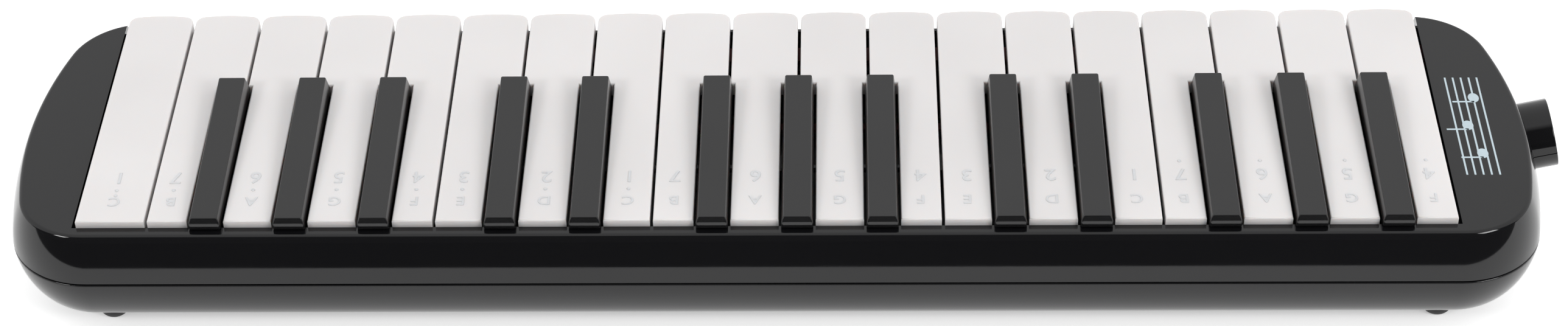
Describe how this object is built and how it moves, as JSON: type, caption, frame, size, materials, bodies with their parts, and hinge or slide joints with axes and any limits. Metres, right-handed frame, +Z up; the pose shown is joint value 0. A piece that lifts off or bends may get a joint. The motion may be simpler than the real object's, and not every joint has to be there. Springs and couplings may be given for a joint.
{
  "type": "melodica",
  "caption": "Wind instrument with a small piano keyboard in a flat black two-part case, with a blowing socket at the low end and a drain button below the high end.",
  "frame": {"origin": "on the surface that the four feet stand on, below the middle of the whole instrument, socket included", "axes": "+X from the low notes and the blowing socket towards the high notes, +Y away from the player towards the rear rail, +Z up"},
  "size_m": [0.4316, 0.1024, 0.0428],
  "materials": {
    "case_black": "polished moulded ABS",
    "socket_black": "moulded ABS, slightly satin",
    "key_white": "semi-gloss moulded ABS",
    "key_black": "satin top, glossy sides",
    "chest_plastic": "plain moulding",
    "reed_brass": "rolled sheet",
    "steel": "drawn and zinc plated",
    "seal_rubber": "matte",
    "foot_rubber": "matte",
    "stop_felt": "wool felt",
    "strap_webbing": "woven webbing"
  },
  "bodies": {
    "root": {"upper_case": "case_black", "lower_case": "case_black", "mouthpiece_socket": "socket_black", "socket_seal": "seal_rubber", "wind_chest": "chest_plastic", "chest_gasket": "seal_rubber", "chest_cover": "chest_plastic", "reed_plate_low": "reed_brass", "reed_plate_high": "reed_brass", "key_pivot_rod": "steel", "front_rail": "chest_plastic", "white_key_stop_felt": "stop_felt", "black_key_stop_felt": "stop_felt", "hand_strap": "strap_webbing", "case_screw_1": "steel", "case_screw_2": "steel", "case_screw_3": "steel", "case_screw_4": "steel", "chest_screw_1": "steel", "chest_screw_2": "steel", "rubber_foot_1": "foot_rubber", "rubber_foot_2": "foot_rubber", "rubber_foot_3": "foot_rubber", "rubber_foot_4": "foot_rubber"},
    "drain_valve": {"drain_button": "socket_black", "drain_seal": "seal_rubber"},
    "key_F3": {"white_key_F3": "key_white"},
    "key_Fs3": {"black_key_Fs3": "key_black"},
    "key_G3": {"white_key_G3": "key_white"},
    "key_Gs3": {"black_key_Gs3": "key_black"},
    "key_A3": {"white_key_A3": "key_white"},
    "key_As3": {"black_key_As3": "key_black"},
    "key_B3": {"white_key_B3": "key_white"},
    "key_C4": {"white_key_C4": "key_white"},
    "key_Cs4": {"black_key_Cs4": "key_black"},
    "key_D4": {"white_key_D4": "key_white"},
    "key_Ds4": {"black_key_Ds4": "key_black"},
    "key_E4": {"white_key_E4": "key_white"},
    "key_F4": {"white_key_F4": "key_white"},
    "key_Fs4": {"black_key_Fs4": "key_black"},
    "key_G4": {"white_key_G4": "key_white"},
    "key_Gs4": {"black_key_Gs4": "key_black"},
    "key_A4": {"white_key_A4": "key_white"},
    "key_As4": {"black_key_As4": "key_black"},
    "key_B4": {"white_key_B4": "key_white"},
    "key_C5": {"white_key_C5": "key_white"},
    "key_Cs5": {"black_key_Cs5": "key_black"},
    "key_D5": {"white_key_D5": "key_white"},
    "key_Ds5": {"black_key_Ds5": "key_black"},
    "key_E5": {"white_key_E5": "key_white"},
    "key_F5": {"white_key_F5": "key_white"},
    "key_Fs5": {"black_key_Fs5": "key_black"},
    "key_G5": {"white_key_G5": "key_white"},
    "key_Gs5": {"black_key_Gs5": "key_black"},
    "key_A5": {"white_key_A5": "key_white"},
    "key_As5": {"black_key_As5": "key_black"},
    "key_B5": {"white_key_B5": "key_white"},
    "key_C6": {"white_key_C6": "key_white"}
  },
  "joints": [
    {"name": "drain_press", "type": "slide", "parent": "root", "child": "drain_valve", "axis": [0, 0, 1], "range_m": [0, 0.0022], "stiffness_N_per_m": 300, "springref_m": -0.004},
    {"name": "F3_press", "type": "hinge", "parent": "root", "child": "key_F3", "pos_m": [0, 0.014, 0.031], "axis": [1, 0, 0], "range_deg": [0, 3.4], "stiffness_Nm_per_rad": 0.15, "springref_deg": -11.46},
    {"name": "Fs3_press", "type": "hinge", "parent": "root", "child": "key_Fs3", "pos_m": [0, 0.014, 0.031], "axis": [1, 0, 0], "range_deg": [0, 6.5], "stiffness_Nm_per_rad": 0.15, "springref_deg": -11.46},
    {"name": "G3_press", "type": "hinge", "parent": "root", "child": "key_G3", "pos_m": [0, 0.014, 0.031], "axis": [1, 0, 0], "range_deg": [0, 3.4], "stiffness_Nm_per_rad": 0.15, "springref_deg": -11.46},
    {"name": "Gs3_press", "type": "hinge", "parent": "root", "child": "key_Gs3", "pos_m": [0, 0.014, 0.031], "axis": [1, 0, 0], "range_deg": [0, 6.5], "stiffness_Nm_per_rad": 0.15, "springref_deg": -11.46},
    {"name": "A3_press", "type": "hinge", "parent": "root", "child": "key_A3", "pos_m": [0, 0.014, 0.031], "axis": [1, 0, 0], "range_deg": [0, 3.4], "stiffness_Nm_per_rad": 0.15, "springref_deg": -11.46},
    {"name": "As3_press", "type": "hinge", "parent": "root", "child": "key_As3", "pos_m": [0, 0.014, 0.031], "axis": [1, 0, 0], "range_deg": [0, 6.5], "stiffness_Nm_per_rad": 0.15, "springref_deg": -11.46},
    {"name": "B3_press", "type": "hinge", "parent": "root", "child": "key_B3", "pos_m": [0, 0.014, 0.031], "axis": [1, 0, 0], "range_deg": [0, 3.4], "stiffness_Nm_per_rad": 0.15, "springref_deg": -11.46},
    {"name": "C4_press", "type": "hinge", "parent": "root", "child": "key_C4", "pos_m": [0, 0.014, 0.031], "axis": [1, 0, 0], "range_deg": [0, 3.4], "stiffness_Nm_per_rad": 0.15, "springref_deg": -11.46},
    {"name": "Cs4_press", "type": "hinge", "parent": "root", "child": "key_Cs4", "pos_m": [0, 0.014, 0.031], "axis": [1, 0, 0], "range_deg": [0, 6.5], "stiffness_Nm_per_rad": 0.15, "springref_deg": -11.46},
    {"name": "D4_press", "type": "hinge", "parent": "root", "child": "key_D4", "pos_m": [0, 0.014, 0.031], "axis": [1, 0, 0], "range_deg": [0, 3.4], "stiffness_Nm_per_rad": 0.15, "springref_deg": -11.46},
    {"name": "Ds4_press", "type": "hinge", "parent": "root", "child": "key_Ds4", "pos_m": [0, 0.014, 0.031], "axis": [1, 0, 0], "range_deg": [0, 6.5], "stiffness_Nm_per_rad": 0.15, "springref_deg": -11.46},
    {"name": "E4_press", "type": "hinge", "parent": "root", "child": "key_E4", "pos_m": [0, 0.014, 0.031], "axis": [1, 0, 0], "range_deg": [0, 3.4], "stiffness_Nm_per_rad": 0.15, "springref_deg": -11.46},
    {"name": "F4_press", "type": "hinge", "parent": "root", "child": "key_F4", "pos_m": [0, 0.014, 0.031], "axis": [1, 0, 0], "range_deg": [0, 3.4], "stiffness_Nm_per_rad": 0.15, "springref_deg": -11.46},
    {"name": "Fs4_press", "type": "hinge", "parent": "root", "child": "key_Fs4", "pos_m": [0, 0.014, 0.031], "axis": [1, 0, 0], "range_deg": [0, 6.5], "stiffness_Nm_per_rad": 0.15, "springref_deg": -11.46},
    {"name": "G4_press", "type": "hinge", "parent": "root", "child": "key_G4", "pos_m": [0, 0.014, 0.031], "axis": [1, 0, 0], "range_deg": [0, 3.4], "stiffness_Nm_per_rad": 0.15, "springref_deg": -11.46},
    {"name": "Gs4_press", "type": "hinge", "parent": "root", "child": "key_Gs4", "pos_m": [0, 0.014, 0.031], "axis": [1, 0, 0], "range_deg": [0, 6.5], "stiffness_Nm_per_rad": 0.15, "springref_deg": -11.46},
    {"name": "A4_press", "type": "hinge", "parent": "root", "child": "key_A4", "pos_m": [0, 0.014, 0.031], "axis": [1, 0, 0], "range_deg": [0, 3.4], "stiffness_Nm_per_rad": 0.15, "springref_deg": -11.46},
    {"name": "As4_press", "type": "hinge", "parent": "root", "child": "key_As4", "pos_m": [0, 0.014, 0.031], "axis": [1, 0, 0], "range_deg": [0, 6.5], "stiffness_Nm_per_rad": 0.15, "springref_deg": -11.46},
    {"name": "B4_press", "type": "hinge", "parent": "root", "child": "key_B4", "pos_m": [0, 0.014, 0.031], "axis": [1, 0, 0], "range_deg": [0, 3.4], "stiffness_Nm_per_rad": 0.15, "springref_deg": -11.46},
    {"name": "C5_press", "type": "hinge", "parent": "root", "child": "key_C5", "pos_m": [0, 0.014, 0.031], "axis": [1, 0, 0], "range_deg": [0, 3.4], "stiffness_Nm_per_rad": 0.15, "springref_deg": -11.46},
    {"name": "Cs5_press", "type": "hinge", "parent": "root", "child": "key_Cs5", "pos_m": [0, 0.014, 0.031], "axis": [1, 0, 0], "range_deg": [0, 6.5], "stiffness_Nm_per_rad": 0.15, "springref_deg": -11.46},
    {"name": "D5_press", "type": "hinge", "parent": "root", "child": "key_D5", "pos_m": [0, 0.014, 0.031], "axis": [1, 0, 0], "range_deg": [0, 3.4], "stiffness_Nm_per_rad": 0.15, "springref_deg": -11.46},
    {"name": "Ds5_press", "type": "hinge", "parent": "root", "child": "key_Ds5", "pos_m": [0, 0.014, 0.031], "axis": [1, 0, 0], "range_deg": [0, 6.5], "stiffness_Nm_per_rad": 0.15, "springref_deg": -11.46},
    {"name": "E5_press", "type": "hinge", "parent": "root", "child": "key_E5", "pos_m": [0, 0.014, 0.031], "axis": [1, 0, 0], "range_deg": [0, 3.4], "stiffness_Nm_per_rad": 0.15, "springref_deg": -11.46},
    {"name": "F5_press", "type": "hinge", "parent": "root", "child": "key_F5", "pos_m": [0, 0.014, 0.031], "axis": [1, 0, 0], "range_deg": [0, 3.4], "stiffness_Nm_per_rad": 0.15, "springref_deg": -11.46},
    {"name": "Fs5_press", "type": "hinge", "parent": "root", "child": "key_Fs5", "pos_m": [0, 0.014, 0.031], "axis": [1, 0, 0], "range_deg": [0, 6.5], "stiffness_Nm_per_rad": 0.15, "springref_deg": -11.46},
    {"name": "G5_press", "type": "hinge", "parent": "root", "child": "key_G5", "pos_m": [0, 0.014, 0.031], "axis": [1, 0, 0], "range_deg": [0, 3.4], "stiffness_Nm_per_rad": 0.15, "springref_deg": -11.46},
    {"name": "Gs5_press", "type": "hinge", "parent": "root", "child": "key_Gs5", "pos_m": [0, 0.014, 0.031], "axis": [1, 0, 0], "range_deg": [0, 6.5], "stiffness_Nm_per_rad": 0.15, "springref_deg": -11.46},
    {"name": "A5_press", "type": "hinge", "parent": "root", "child": "key_A5", "pos_m": [0, 0.014, 0.031], "axis": [1, 0, 0], "range_deg": [0, 3.4], "stiffness_Nm_per_rad": 0.15, "springref_deg": -11.46},
    {"name": "As5_press", "type": "hinge", "parent": "root", "child": "key_As5", "pos_m": [0, 0.014, 0.031], "axis": [1, 0, 0], "range_deg": [0, 6.5], "stiffness_Nm_per_rad": 0.15, "springref_deg": -11.46},
    {"name": "B5_press", "type": "hinge", "parent": "root", "child": "key_B5", "pos_m": [0, 0.014, 0.031], "axis": [1, 0, 0], "range_deg": [0, 3.4], "stiffness_Nm_per_rad": 0.15, "springref_deg": -11.46},
    {"name": "C6_press", "type": "hinge", "parent": "root", "child": "key_C6", "pos_m": [0, 0.014, 0.031], "axis": [1, 0, 0], "range_deg": [0, 3.4], "stiffness_Nm_per_rad": 0.15, "springref_deg": -11.46}
  ]
}
